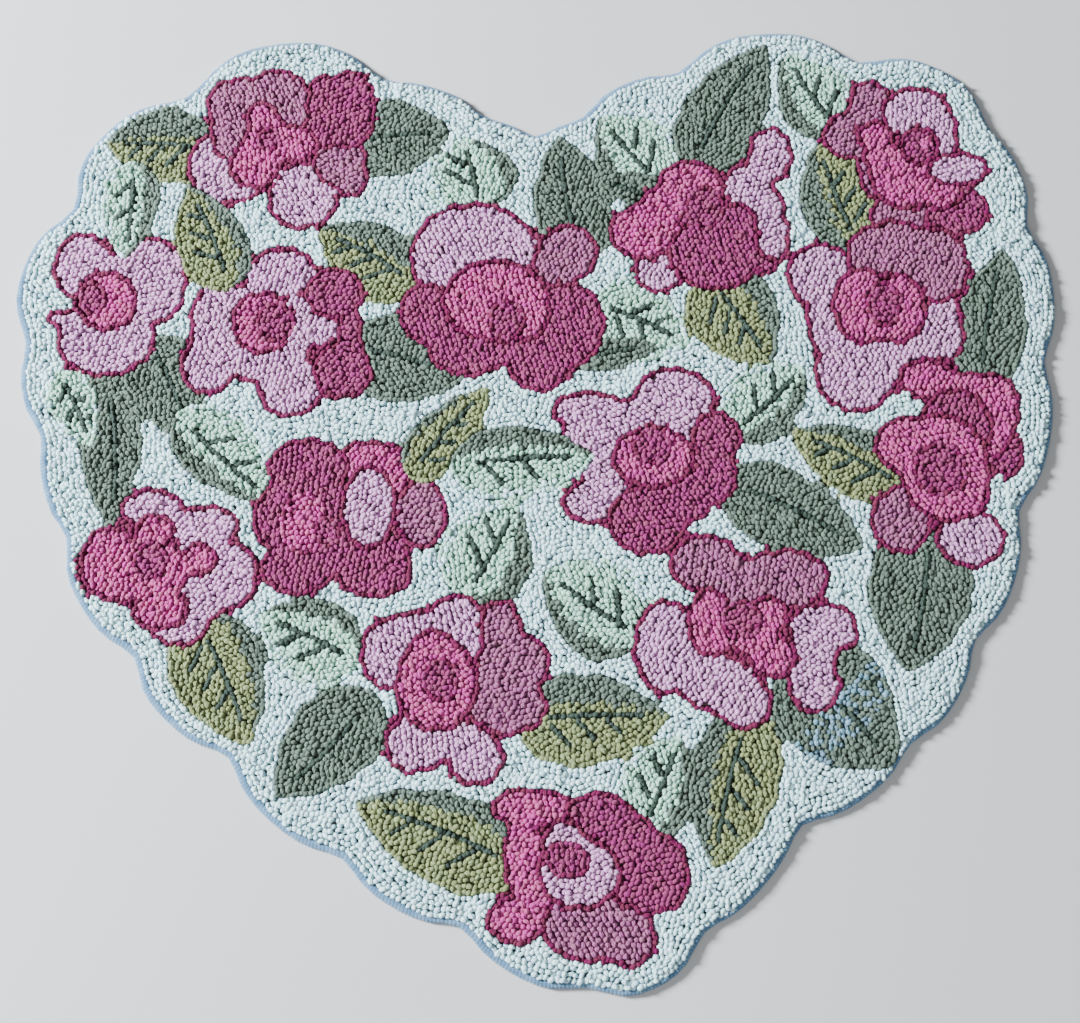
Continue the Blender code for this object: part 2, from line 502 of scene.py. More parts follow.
def zero_lines(field, x_low, y_low):
    """The lines along which a grid of values crosses zero, each a run of points."""
    height, width = field.shape
    below = (field < 0).astype(int)
    corners = below[:-1, :-1] + 2 * below[:-1, 1:] + 4 * below[1:, 1:] + 8 * below[1:, :-1]
    after = {}
    for case, walks in CELL_WALKS.items():
        row, column = np.nonzero(corners == case)
        across = 2 * (row * width + column)
        sides = (across, across + 3, across + 2 * width, across + 1)
        for leave, reach in walks:
            after.update(zip(sides[leave].tolist(), sides[reach].tolist()))
    flat = field.ravel()
    runs = []
    starts = sorted(set(after) - set(after.values())) + sorted(after)
    for start in starts:
        if start not in after:
            continue
        run = [start]
        key = after.pop(start)
        while key in after:
            run.append(key)
            key = after.pop(key)
        run.append(key)
        key = np.array(run)
        corner = key // 2
        upward = key % 2
        beyond = corner + np.where(upward == 1, width, 1)
        share = flat[corner] / (flat[corner] - flat[beyond])
        x = x_low + (corner % width + share * (1 - upward)) * CELL
        y = y_low + (corner // width + share * upward) * CELL
        runs.append(np.stack([x, y], axis=1))
    return runs


def spaced(run, step):
    """Points at even steps along a run, and the run's direction at each."""
    along = lengths_along(run)
    count = int(round(along[-1] / step))
    if count < 1:
        return np.empty((0, 2)), np.empty(0)
    wanted = (np.arange(count) + 0.5) * along[-1] / count
    ahead = points_at(run, along, wanted + 2.0) - points_at(run, along, wanted - 2.0)
    return points_at(run, along, wanted), np.arctan2(ahead[:, 1], ahead[:, 0])


# Shapes on the chart, as signed distances in millimetres, less than zero inside


def oval_distance(oval, x, y):
    reach = np.hypot((x - oval.x) / oval.across, (y - oval.y) / oval.up)
    slope = np.hypot((x - oval.x) / oval.across ** 2, (y - oval.y) / oval.up ** 2)
    return reach * (reach - 1) / np.maximum(slope, 1e-6)


def petal_distance(ovals, x, y):
    """Ovals run together with soft joins and a ruffled edge."""
    total = oval_distance(ovals[0], x, y)
    for oval in ovals[1:]:
        other = oval_distance(oval, x, y)
        closeness = np.maximum(JOIN_SOFTNESS - np.abs(total - other), 0) / JOIN_SOFTNESS
        total = np.minimum(total, other) - closeness ** 2 * JOIN_SOFTNESS / 4
    long_waves = np.sin(0.23 * x + 0.05 * y) * np.sin(0.19 * y - 0.07 * x + 0.8)
    short_waves = 0.5 * np.sin(0.31 * x - 0.27 * y)
    return total + RUFFLE * (long_waves + short_waves)


def leaf_place(leaf, x, y):
    """How far along a leaf a point is, 0 to 1, how far left of its midrib, and the half width there."""
    dx, dy = leaf.tip_x - leaf.base_x, leaf.tip_y - leaf.base_y
    length = math.hypot(dx, dy)
    along = ((x - leaf.base_x) * dx + (y - leaf.base_y) * dy) / length ** 2
    left = ((y - leaf.base_y) * dx - (x - leaf.base_x) * dy) / length
    share = np.clip(along, 0, 1)
    return along, left, LEAF_FULLNESS * leaf.width * share ** 0.5 * (1 - share) ** 0.8


def leaf_distance(leaf, x, y):
    along, left, half_width = leaf_place(leaf, x, y)
    wave = 1.2 * np.sin(0.16 * x + 0.11 * y) + 0.8 * np.sin(0.27 * y - 0.12 * x)
    return np.where((along > 0) & (along < 1), np.abs(left) - half_width + wave, 99.0)


def leaf_veins(leaf):
    """The midrib and its side veins, as runs of points."""
    base, tip = np.array([leaf.base_x, leaf.base_y]), np.array([leaf.tip_x, leaf.tip_y])
    length = np.linalg.norm(tip - base)
    ahead = (tip - base) / length
    left = np.array([-ahead[1], ahead[0]])
    steps = np.linspace(0.16, 0.84, 12)
    bow = 0.03 * length * np.sin(math.pi * steps) * (1 if leaf.dark_side >= 0 else -1)
    runs = [base + steps[:, None] * (tip - base) + bow[:, None] * left]
    if leaf.kind in ("dark", "flecked"):
        return runs
    shares = (0.28, 0.54) if leaf.kind == "pale" or length < 110 else (0.24, 0.44, 0.64)
    for number, share in enumerate(shares):
        for side in (-leaf.dark_side,) if leaf.dark_side else (-1, 1):
            start = base + (share + 0.05 * side) * (tip - base)
            reach = 0.5 * leaf.width * 0.72 * (1 - 0.2 * number)
            steps = np.linspace(0, 1, 8)[:, None]
            runs.append(start + steps * reach * (0.76 * side * left + 0.65 * ahead))
    return runs


Shape = namedtuple("Shape", "part angle low high")
Loops = namedtuple("Loops", "places angles yarns fixed")
YARN_NUMBERS = {name: number for number, name in enumerate(YARNS)}


def petal_shape(part, rose):
    """A petal's box and the way its rows run, which is out from the eye of its rose."""
    centres = np.array([[oval.x, oval.y] for oval in part.ovals])
    areas = np.array([[oval.across * oval.up] for oval in part.ovals])
    reach = np.array([[max(oval.across, oval.up)] for oval in part.ovals]) + JOIN_SOFTNESS
    middle = (areas * centres).sum(axis=0) / areas.sum()
    angle = math.atan2(middle[1] - rose.y, middle[0] - rose.x)
    return Shape(part, angle, (centres - reach).min(axis=0), (centres + reach).max(axis=0))


def leaf_shape(leaf):
    ends = np.array([[leaf.base_x, leaf.base_y], [leaf.tip_x, leaf.tip_y]])
    reach = 0.6 * leaf.width
    angle = math.atan2(leaf.tip_y - leaf.base_y, leaf.tip_x - leaf.base_x)
    return Shape(leaf, angle, ends.min(axis=0) - reach, ends.max(axis=0) + reach)


def chart_shapes():
    """Every leaf and petal, in the order in which they are painted."""
    shapes = [leaf_shape(leaf) for leaf in LEAVES_BEHIND]
    shapes += [petal_shape(part, rose) for rose in ROSES for part in rose.petals]
    shapes += [leaf_shape(leaf) for leaf in LEAVES_ABOVE]
    return shapes


def is_leaf(shape):
    return isinstance(shape.part, Leaf)


def shape_distance(shape, x, y):
    if is_leaf(shape):
        return leaf_distance(shape.part, x, y)
    return petal_distance(shape.part.ovals, x, y)


def window(shape):
    """The rows and columns of the grid round a shape."""
    row, column = cell_of(np.array([shape.low, shape.high]))
    return slice(row[0], row[1] + 1), slice(column[0], column[1] + 1)


def window_distance(shape):
    rows, columns = window(shape)
    return shape_distance(shape, CELL_X[columns][None, :], CELL_Y[rows][:, None])


def paint(shapes):
    """The number of the shape that shows in each cell."""
    owners = np.where(inside_outline(pile_edge()), GROUND, OUTSIDE)
    for number, shape in enumerate(shapes, start=1):
        shown = owners[window(shape)]
        shown[(window_distance(shape) < 0) & (shown != OUTSIDE)] = number
    return owners


def slivers_joined(owners):
    """Gives ground too narrow for a row of loops to whatever lies nearest."""
    distance, seed_row, seed_column = nearest_seed(owners != GROUND, 32)
    roomy, _, _ = nearest_seed(distance > SLIVER, 8)
    beside = owners[seed_row.astype(int), seed_column.astype(int)]
    narrow = (owners == GROUND) & (roomy > SLIVER) & (beside != OUTSIDE)
    return np.where(narrow, beside, owners)


def leaf_yarns(leaf, points):
    """The yarn of each loop of a leaf. Where two yarns meet, the loops are mixed."""
    along, left, half_width = leaf_place(leaf, points[:, 0], points[:, 1])
    side = leaf.dark_side * left / np.maximum(half_width, 1.0)
    blur = rng.normal(0, YARN_MIXING, len(points))
    chance = rng.random(len(points))
    if leaf.kind == "dark":
        return np.full(len(points), YARN_NUMBERS["sage"])
    if leaf.kind == "flecked":
        yarns = np.full(len(points), YARN_NUMBERS["sage"])
        yarns[(np.abs(along - FLECK_MIDDLE) < FLECK_REACH) & (chance < FLECK_SHARE)] = YARN_NUMBERS["fleck"]
        return yarns
    light = "olive" if leaf.kind == "olive" else "mint"
    yarns = np.full(len(points), YARN_NUMBERS[light])
    if leaf.dark_side:
        yarns[side + blur > leaf.dark_from] = YARN_NUMBERS["sage"]
    if leaf.kind == "pale":
        edge = np.abs(left) / np.maximum(half_width, 1.0)
        fading = (edge + blur > FADE_FROM) & (chance < FADE_SHARE)
        yarns[fading & (yarns == YARN_NUMBERS["mint"])] = YARN_NUMBERS["ground"]
    return yarns


def shape_yarns(shape, points):
    if is_leaf(shape):
        return leaf_yarns(shape.part, points)
    yarns = np.full(len(points), YARN_NUMBERS[shape.part.yarn])
    rim = petal_distance(shape.part.ovals, points[:, 0], points[:, 1]) > -RIM_DEPTH
    if not shape.part.outlined:
        rim &= rng.random(len(points)) < SHADE_RIM_SHARE
    yarns[rim] = YARN_NUMBERS["raspberry"]
    return yarns


def shape_angles(shape, points):
    """The way the rows run: in a leaf they branch off both sides of its midrib."""
    angles = np.full(len(points), shape.angle)
    if is_leaf(shape):
        left = leaf_place(shape.part, points[:, 0], points[:, 1])[1]
        angles += np.where(left > 0, LEAF_BRANCHING, -LEAF_BRANCHING)
    return angles


def mark(mask, points, radius):
    """Marks the cells within a radius of the points."""
    row, column = cell_of(points)
    reach = int(radius / CELL)
    for down in range(-reach, reach + 1):
        for right in range(-reach, reach + 1):
            if math.hypot(down, right) * CELL <= radius:
                mask[row + down, column + right] = True


def joined(groups):
    return Loops(*[np.concatenate(values) for values in zip(*groups)])


def shape_lines(shape):
    """The runs along which a shape is hooked first, each with its yarn or None for the shape's own."""
    row, column = (run.start for run in window(shape))
    edge = zero_lines(window_distance(shape) + 0.5 * LINE_WIDTH, CELL_X[column], CELL_Y[row])
    if is_leaf(shape):
        return [(run, "vein") for run in leaf_veins(shape.part)] + [(run, None) for run in edge]
    return [(run, "raspberry" if shape.part.outlined else None) for run in edge]


def line_loops(shapes, owners, blocked):
    """Single rows of loops along outlines and veins, from the topmost shape down."""
    groups = []
    for number in range(len(shapes), 0, -1):
        shape = shapes[number - 1]
        for run, yarn in shape_lines(shape):
            points, angles = spaced(run, LINE_PITCH)
            cells = cell_of(points)
            kept = (owners[cells] == number) & ~blocked[cells]
            points, angles = points[kept], angles[kept]
            if yarn is None:
                yarns = shape_yarns(shape, points)
            else:
                yarns = np.full(len(points), YARN_NUMBERS[yarn])
            groups.append(Loops(points, angles, yarns, np.ones(len(points), bool)))
            mark(blocked, points, CLEAR_OF_LINES)
    return groups


def lattice(shape, angle):
    """Staggered rows of points over a shape's box."""
    middle = 0.5 * (shape.low + shape.high) + rng.uniform(0, LOOP_PITCH, 2)
    reach = 0.5 * np.linalg.norm(shape.high - shape.low)
    along, aside = np.meshgrid(np.arange(-reach, reach, LOOP_PITCH), np.arange(-reach, reach, ROW_PITCH))
    along[::2] += 0.5 * LOOP_PITCH
    wave = FILL_WAVE * np.sin(along / 13.0 + rng.uniform(0, 6))
    aside = aside + wave * np.sin(aside / 31.0 + rng.uniform(0, 6))
    x = middle[0] + along * math.cos(angle) - aside * math.sin(angle)
    y = middle[1] + along * math.sin(angle) + aside * math.cos(angle)
    return np.stack([x.ravel(), y.ravel()], axis=1) + rng.normal(0, JITTER, (x.size, 2))


def fill_loops(shapes, owners, blocked):
    """Rows of loops inside every petal and leaf."""
    groups = []
    for number, shape in enumerate(shapes, start=1):
        for branching in (LEAF_BRANCHING, -LEAF_BRANCHING) if is_leaf(shape) else (0,):
            angle = shape.angle + branching
            points = lattice(shape, angle)
            cells = cell_of(points)
            own_way = np.abs(shape_angles(shape, points) - angle) < 0.01
            points = points[(owners[cells] == number) & ~blocked[cells] & own_way]
            groups.append(free_loops(points, np.full(len(points), angle), shape_yarns(shape, points)))
            mark(blocked, points, CLEAR_OF_FILL)
    return groups


def ground_loops(owners, blocked, distance):
    """Rows of loops that follow the rug's edge and the motifs, row after row."""
    groups = []
    rows = int(distance[owners == GROUND].max() / ROW_PITCH) + 1
    for row in range(rows):
        for run in zero_lines((row + 0.5) * ROW_PITCH - distance, CELL_X[0], CELL_Y[0]):
            points, angles = spaced(run, LOOP_PITCH)
            points = points + rng.normal(0, JITTER * min(1.0, row / 3), points.shape)
            cells = cell_of(points)
            kept = (owners[cells] == GROUND) & ~blocked[cells]
            points, angles = points[kept], angles[kept]
            groups.append(free_loops(points, angles, np.full(len(points), YARN_NUMBERS["ground"])))
            mark(blocked, points, CLEAR_OF_FILL)
    return groups


def free_loops(points, angles, yarns):
    """Loops that may be moved when the spacing is evened out."""
    return Loops(points, angles, yarns, np.zeros(len(points), bool))


def loops_for(points, shapes, owners, ground_angle):
    """Loops at given places, with the yarn and the rows of whatever shows there."""
    cells = cell_of(points)
    numbers = owners[cells]
    angles = ground_angle[cells]
    yarns = np.full(len(points), YARN_NUMBERS["ground"])
    for number in np.unique(numbers[numbers > GROUND]):
        here = numbers == number
        shape = shapes[number - 1]
        angles[here] = shape_angles(shape, points[here])
        yarns[here] = shape_yarns(shape, points[here])
    return free_loops(points, angles, yarns)


def void_places(places, owners):
    """The middles of bare places among the loops."""
    seeds = np.zeros(GRID_SHAPE, bool)
    seeds[cell_of(places)] = True
    bare = np.where(owners == OUTSIDE, 0, nearest_seed(seeds, 8)[0])
    highest = bare.copy()
    for down in range(-4, 5):
        for right in range(-4, 5):
            highest = np.maximum(highest, shifted(bare, down, right, 0))
    row, column = np.nonzero((bare >= highest) & (bare > VOID_RADIUS))
    taken = np.zeros(GRID_SHAPE, bool)
    chosen = []
    for r, c in zip(row, column):
        if not taken[r, c]:
            chosen.append((CELL_X[c], CELL_Y[r]))
            taken[r - 4:r + 5, c - 4:c + 5] = True
    return np.array(chosen).reshape(-1, 2)


def neighbours(places, reach):
    """For each loop the numbers of the loops round it, with minus 1 for none."""
    bucket = np.floor((places - GRID_LOW) / reach).astype(int) + 1
    columns = bucket[:, 1].max() + 2
    key = bucket[:, 0] * columns + bucket[:, 1]
    order = np.argsort(key, kind="stable")
    rank = np.arange(len(key)) - np.searchsorted(key[order], key[order])
    table = np.full(((bucket[:, 0].max() + 2) * columns, BUCKET_ROOM), -1)
    fits = rank < BUCKET_ROOM
    table[key[order][fits], rank[fits]] = order[fits]
    offsets = [right * columns + up for right in (-1, 0, 1) for up in (-1, 0, 1)]
    return np.concatenate([table[key + offset] for offset in offsets], axis=1)


def pushed_apart(loops, owners):
    """Evens out the spacing. A loop on a line stays, and the others stay inside their own shape."""
    places = loops.places.copy()
    own = owners[cell_of(places)]
    for _ in range(RELAX_ROUNDS):
        near = neighbours(places, RELAX_REACH)
        gap = places[:, None] - places[near]
        distance = np.linalg.norm(gap, axis=2)
        felt = (near >= 0) & (distance > 0) & (distance < RELAX_REACH)
        push = np.where(felt, (RELAX_REACH - distance) / np.maximum(distance, 0.1), 0)
        move = RELAX_SHARE * (push[:, :, None] * gap).sum(axis=1)
        length = np.linalg.norm(move, axis=1)[:, None]
        move *= np.minimum(1, RELAX_STEP / np.maximum(length, 1e-6))
        moved = np.where(loops.fixed[:, None], places, places + move)
        kept = owners[cell_of(moved)] == own
        places = np.where(kept[:, None], moved, places)
    return loops._replace(places=places)


def hooked_loops():
    """Every loop of the pile: its place, the way it lies and its yarn."""
    shapes = chart_shapes()
    owners = slivers_joined(paint(shapes))
    distance, seed_row, seed_column = nearest_seed(owners != GROUND, 64)
    rows, columns = np.indices(GRID_SHAPE)
    ground_angle = np.arctan2(rows - seed_row, columns - seed_column) + 0.5 * math.pi
    blocked = np.zeros(GRID_SHAPE, bool)
    groups = line_loops(shapes, owners, blocked)
    groups += fill_loops(shapes, owners, blocked)
    groups += ground_loops(owners, blocked, distance)
    loops = joined(groups)
    for _ in range(VOID_ROUNDS):
        loops = joined([loops, loops_for(void_places(loops.places, owners), shapes, owners, ground_angle)])
        loops = pushed_apart(loops, owners)
    return loops


# Meshes


def new_mesh(name, points, faces_by_size):
    """A mesh from points in metres and arrays of faces, one array for each number of corners."""
    mesh = bpy.data.meshes.new(name)
    corners = np.concatenate([faces.ravel() for faces in faces_by_size])
    sizes = np.concatenate([np.full(len(faces), faces.shape[1]) for faces in faces_by_size])
    mesh.vertices.add(len(points))
    mesh.vertices.foreach_set("co", points.ravel())
    mesh.loops.add(len(corners))
    mesh.loops.foreach_set("vertex_index", corners)
    mesh.polygons.add(len(sizes))
    mesh.polygons.foreach_set("loop_start", np.cumsum(sizes) - sizes)
    mesh.update(calc_edges=True)
    mesh.shade_smooth()
    return mesh, corners


def add_uv(mesh, name, values, corners):
    layer = mesh.uv_layers.new(name=name)
    layer.uv.foreach_set("vector", values[corners].ravel().astype(np.float32))


def add_bake_uv(mesh, points, corners):
    """Colour maps are laid out as the rug is seen from above."""
    low, high = np.array(CAD_BOX[0][:2]), np.array(CAD_BOX[1][:2])
    span = (high - low).max() * 1.04
    add_uv(mesh, "OFBake", (points[:, :2] - 0.5 * (low + high)) / span + 0.5, corners)


def add_object(name, mesh, material):
    mesh.materials.append(material)
    obj = bpy.data.objects.new(name, mesh)
    bpy.context.scene.collection.objects.link(obj)
    return obj


# A loop of yarn in rings from the backing up: height as a share of the loop's, width as a share of
# its widest, and how much of the light on its top is painted into its colour there, as painted shade
# towards its foot. It is closed by one point at the top.
LoopRing = namedtuple("LoopRing", "height width light")
LOOP_RINGS = (LoopRing(0.0, 0.94, 0.0), LoopRing(0.62, 0.98, 0.22), LoopRing(0.89, 0.74, 0.86))
LOOP_COLUMNS = 6
LOOP_POINTS = LOOP_COLUMNS * len(LOOP_RINGS) + 1


def squarish(wave):
    """Pushes a circle's coordinate out towards a rounded square."""
    return np.sign(wave) * np.abs(wave) ** 0.8


COLUMN_TURNS = np.linspace(0, 2 * math.pi, LOOP_COLUMNS, endpoint=False)
COLUMN_ALONG = squarish(np.cos(COLUMN_TURNS))
COLUMN_ASIDE = squarish(np.sin(COLUMN_TURNS))


def loop_points(loops, lean):
    """The points of each loop in metres. Lean moves the foot of a loop away from the rug's edge."""
    count = len(loops.places)
    angle = loops.angles + LOOP_SLANT + rng.normal(0, TURN_SPREAD, count)
    half_length = LOOP_HALF_LENGTH * rng.normal(1, LENGTH_SPREAD, count)
    half_width = LOOP_HALF_WIDTH * rng.normal(1, WIDTH_SPREAD, count)
    uneven = rng.normal(1, OUTLINE_SPREAD, (count, LOOP_COLUMNS))
    top = LOOP_TOP + rng.normal(0, HEIGHT_SPREAD, count)
    top -= np.clip(LEAN_DROP * np.linalg.norm(lean, axis=1), 0, LEAN_DROP_MOST)
    tilt = rng.normal(0, TILT_SPREAD, (count, 2))
    rings = []
    for ring in LOOP_RINGS:
        u = half_length[:, None] * ring.width * COLUMN_ALONG * uneven
        v = half_width[:, None] * ring.width * COLUMN_ASIDE * uneven
        foot = (1 - ring.height) ** LEAN_BEND
        x = u * np.cos(angle)[:, None] - v * np.sin(angle)[:, None]
        y = u * np.sin(angle)[:, None] + v * np.cos(angle)[:, None]
        x += (loops.places[:, 0] + lean[:, 0] * foot + tilt[:, 0] * ring.height)[:, None]
        y += (loops.places[:, 1] + lean[:, 1] * foot + tilt[:, 1] * ring.height)[:, None]
        z = np.repeat((BACKING_TOP + ring.height * (top - BACKING_TOP))[:, None], LOOP_COLUMNS, axis=1)
        rings.append(np.stack([x, y, z], axis=2))
    summit = np.concatenate([loops.places + tilt, top[:, None]], axis=1)[:, None]
    points = np.concatenate(rings + [summit], axis=1)
    points[:, :, :2] += CHART_ORIGIN
    return points.reshape(-1, 3) * MM


def loop_faces(count):
    """The walls between the rings of each loop, and the cap round its top."""
    column = np.arange(LOOP_COLUMNS)
    beside = (column + 1) % LOOP_COLUMNS
    walls = []
    for low in LOOP_COLUMNS * np.arange(len(LOOP_RINGS) - 1):
        high = low + LOOP_COLUMNS
        walls.append(np.stack([low + column, low + beside, high + beside, high + column], axis=1))
    last = LOOP_POINTS - 1 - LOOP_COLUMNS
    cap = np.stack([last + column, last + beside, np.full(LOOP_COLUMNS, LOOP_POINTS - 1)], axis=1)
    start = (np.arange(count) * LOOP_POINTS)[:, None, None]
    return [(np.concatenate(walls) + start).reshape(-1, 4), (cap + start).reshape(-1, 3)]


def loop_looks(count):
    """What the wool's material reads at each point: the loop's tone, its painted shade and a shift of hue.
    """
    looks = np.ones((count, LOOP_POINTS, 4), np.float32)
    looks[:, :, 0] = np.clip(rng.normal(0.5, TONE_SPREAD, count), 0, 1)[:, None]
    looks[:, :, 1] = np.append(np.repeat([ring.light for ring in LOOP_RINGS], LOOP_COLUMNS), 1.0)
    looks[:, :, 2] = rng.random(count)[:, None]
    return looks


def loop_uv(count):
    """Places on each loop for the twist of its yarn, each loop on another stretch of yarn."""
    widths = np.array([ring.width for ring in LOOP_RINGS])
    over = np.append(np.outer(widths, COLUMN_ALONG), 0)
    across = np.append(np.outer(widths, COLUMN_ASIDE), 0)
    local = np.tile(np.stack([over, across], axis=1), (count, 1))
    local[:, 0] += np.repeat(rng.uniform(0, 40, count), LOOP_POINTS)
    return local


def add_looks(mesh, looks):
    layer = mesh.attributes.new("loop", "FLOAT_COLOR", "POINT")
    layer.data.foreach_set("color", looks.ravel())


def loop_mesh(name, loops, lean):
    """The loops of one yarn as one mesh."""
    count = len(loops.places)
    points = loop_points(loops, lean)
    mesh, corners = new_mesh(name, points, loop_faces(count))
    add_looks(mesh, loop_looks(count))
    add_bake_uv(mesh, points, corners)
    add_uv(mesh, "Yarn", loop_uv(count), corners)
    return mesh


def foot_shifts(places):
    """How far the foot of each loop stands back from where its top shows, near the rug's edge."""
    distance, seed_row, seed_column = nearest_seed(~inside_outline(RUG_EDGE), 16)
    row, column = cell_of(places)
    inward = np.stack([column - seed_column[row, column], row - seed_row[row, column]], axis=1)
    inward /= np.maximum(np.linalg.norm(inward, axis=1), 0.5)[:, None]
    return inward * np.clip(BASE_FROM_EDGE - distance[row, column], 0, BASE_FROM_EDGE)[:, None]


# Materials


def new_material(name, roughness):
    material = bpy.data.materials.new(name)
    material.use_nodes = True
    tree = material.node_tree
    shader = tree.nodes["Principled BSDF"]
    shader.inputs["Roughness"].default_value = roughness
    shader.inputs["Specular IOR Level"].default_value = 0.25
    return material, tree, shader


def mix_node(tree, blend, factor, a, b):
    """A colour mix. Each of factor, a and b is a socket or a constant."""
    node = tree.nodes.new("ShaderNodeMix")
    node.data_type = "RGBA"
    node.blend_type = blend
    for socket, value in ((node.inputs[0], factor), (node.inputs[6], a), (node.inputs[7], b)):
        if isinstance(value, bpy.types.NodeSocket):
            tree.links.new(value, socket)
        elif isinstance(value, tuple):
            socket.default_value = (*value, 1)
        else:
            socket.default_value = value
    return node.outputs[2]


def range_node(tree, value, low, high):
    """A value from 0 to 1 spread over a new range."""
    node = tree.nodes.new("ShaderNodeMapRange")
    tree.links.new(value, node.inputs["Value"])
    node.inputs["To Min"].default_value = low
    node.inputs["To Max"].default_value = high
    return node.outputs["Result"]


def shaded(tree, colour, shades):
    """The colour times each value in turn, once the value is spread from its low to its high."""
    for value, low, high in shades:
        colour = mix_node(tree, "MULTIPLY", 1.0, colour, range_node(tree, value, low, high))
    return colour


def noise_node(tree, vector, scale):
    node = tree.nodes.new("ShaderNodeTexNoise")
    node.inputs["Scale"].default_value = scale
    node.inputs["Detail"].default_value = 2.0
    tree.links.new(vector, node.inputs["Vector"])
    return node.outputs["Fac"]


def wave_node(tree, vector, scale, distortion, direction):
    node = tree.nodes.new("ShaderNodeTexWave")
    node.bands_direction = direction
    node.inputs["Scale"].default_value = scale
    node.inputs["Distortion"].default_value = distortion
    node.inputs["Detail"].default_value = 1.0
    tree.links.new(vector, node.inputs["Vector"])
    return node.outputs["Fac"]


def uv_node(tree, name):
    node = tree.nodes.new("ShaderNodeUVMap")
    node.uv_map = name
    return node.outputs["UV"]


def look_nodes(tree):
    """The red, green and blue of the mesh's own looks."""
    look = tree.nodes.new("ShaderNodeAttribute")
    look.attribute_name = "loop"
    split = tree.nodes.new("ShaderNodeSeparateColor")
    tree.links.new(look.outputs["Color"], split.inputs["Color"])
    return split.outputs


def place_node(tree):
    return tree.nodes.new("ShaderNodeTexCoord").outputs["Object"]


def add_bumps(tree, shader, bumps):
    """Bumps laid one on the other, each a height socket, its strength and its depth in metres."""
    normal = None
    for height, strength, depth in bumps:
        node = tree.nodes.new("ShaderNodeBump")
        node.inputs["Strength"].default_value = strength
        node.inputs["Distance"].default_value = depth
        tree.links.new(height, node.inputs["Height"])
        if normal is not None:
            tree.links.new(normal, node.inputs["Normal"])
        normal = node.outputs["Normal"]
    tree.links.new(normal, shader.inputs["Normal"])


def scaled(colour, share):
    return tuple(min(1.0, channel * share) for channel in colour)


def wool_material(name, yarn):
    """Dyed wool: each loop has its own tone, and painted shade makes its foot darker than its top."""
    material, tree, shader = new_material(name, 0.92)
    shader.inputs["Sheen Weight"].default_value = 0.36
    shader.inputs["Sheen Roughness"].default_value = 0.6
    shader.inputs["Sheen Tint"].default_value = (*(channel ** 0.7 for channel in yarn.colour), 1)
    tone, light, shift = look_nodes(tree)
    dark_wool, light_wool = scaled(yarn.colour, 1 - yarn.spread), scaled(yarn.colour, 1 + yarn.spread)
    colour = mix_node(tree, "MIX", tone, dark_wool, light_wool)
    warmer = tree.nodes.new("ShaderNodeHueSaturation")
    tree.links.new(range_node(tree, shift, 0.487, 0.513), warmer.inputs["Hue"])
    tree.links.new(range_node(tree, shift, 1.06, 0.94), warmer.inputs["Saturation"])
    tree.links.new(colour, warmer.inputs["Color"])
    strands = wave_node(tree, uv_node(tree, "Yarn"), 0.62, 2.5, "DIAGONAL")
    place = place_node(tree)
    batches = noise_node(tree, place, 55.0)
    lumps = noise_node(tree, place, 430.0)
    fibres = noise_node(tree, place, 1500.0)
    # Painted shade: the colour is darkened and deepened down each loop towards its foot
    shade_gamma = tree.nodes.new("ShaderNodeGamma")
    tree.links.new(warmer.outputs["Color"], shade_gamma.inputs["Color"])
    tree.links.new(range_node(tree, light, 1.35, 0.97), shade_gamma.inputs["Gamma"])
    # The light factor is painted shade; batches, lumps, strands and fibres are the wool's own tone
    colour = shaded(tree, shade_gamma.outputs["Color"], (
        (light, yarn.depth, 1.08), (batches, 0.84, 1.16), (lumps, 0.80, 1.18), (strands, 0.90, 1.03),
        (fibres, 0.86, 1.10)))
    tree.links.new(colour, shader.inputs["Base Color"])
    add_bumps(tree, shader, ((lumps, 0.6, 0.0010), (strands, 0.55, 0.0005), (fibres, 0.45, 0.0004)))
    return material


def binding_material():
    """Light blue yarn in uneven patches, with painted shade making it darker in the grooves between its
    turns.
    """
    material, tree, shader = new_material("binding_yarn", 0.90)
    shader.inputs["Sheen Weight"].default_value = 0.2
    yarn = uv_node(tree, "Yarn")
    place = place_node(tree)
    patches = range_node(tree, noise_node(tree, place, 110.0), -0.3, 1.3)
    fibres = noise_node(tree, place, 1600.0)
    plies = wave_node(tree, yarn, 1.1, 1.5, "DIAGONAL")
    light = look_nodes(tree)[1]
    colour = mix_node(tree, "MIX", patches, (0.080, 0.195, 0.350), (0.250, 0.435, 0.620))
    # The light factor paints shade into the grooves between the turns of yarn
    colour = shaded(tree, colour, ((light, 0.38, 1.0), (plies, 0.88, 1.04), (fibres, 0.86, 1.10)))
    tree.links.new(colour, shader.inputs["Base Color"])
    add_bumps(tree, shader, ((plies, 0.5, 0.0005), (fibres, 0.45, 0.0004)))
    return material


def backing_material():
    """Unbleached cotton in a plain weave."""
    material, tree, shader = new_material("cotton_backing", 0.95)
    place = place_node(tree)
    warp = wave_node(tree, place, 130.0, 0.6, "X")
    weft = wave_node(tree, place, 130.0, 0.6, "Y")
    flecks = noise_node(tree, place, 260.0)
    colour = mix_node(tree, "MIX", flecks, (0.52, 0.45, 0.34), (0.70, 0.63, 0.51))
    colour = shaded(tree, colour, ((warp, 0.84, 1.04), (weft, 0.84, 1.04)))
    tree.links.new(colour, shader.inputs["Base Color"])
    add_bumps(tree, shader, ((warp, 0.6, 0.0004), (weft, 0.6, 0.0004)))
    return material


def floor_material():
    material, tree, shader = new_material("studio_floor", 0.75)
    shader.inputs["Base Color"].default_value = (0.58, 0.57, 0.56, 1)
    return material


# Pieces

# The most loops in one piece, which keeps it under 200,000 triangles
PIECE_LOOPS_MOST = 5400


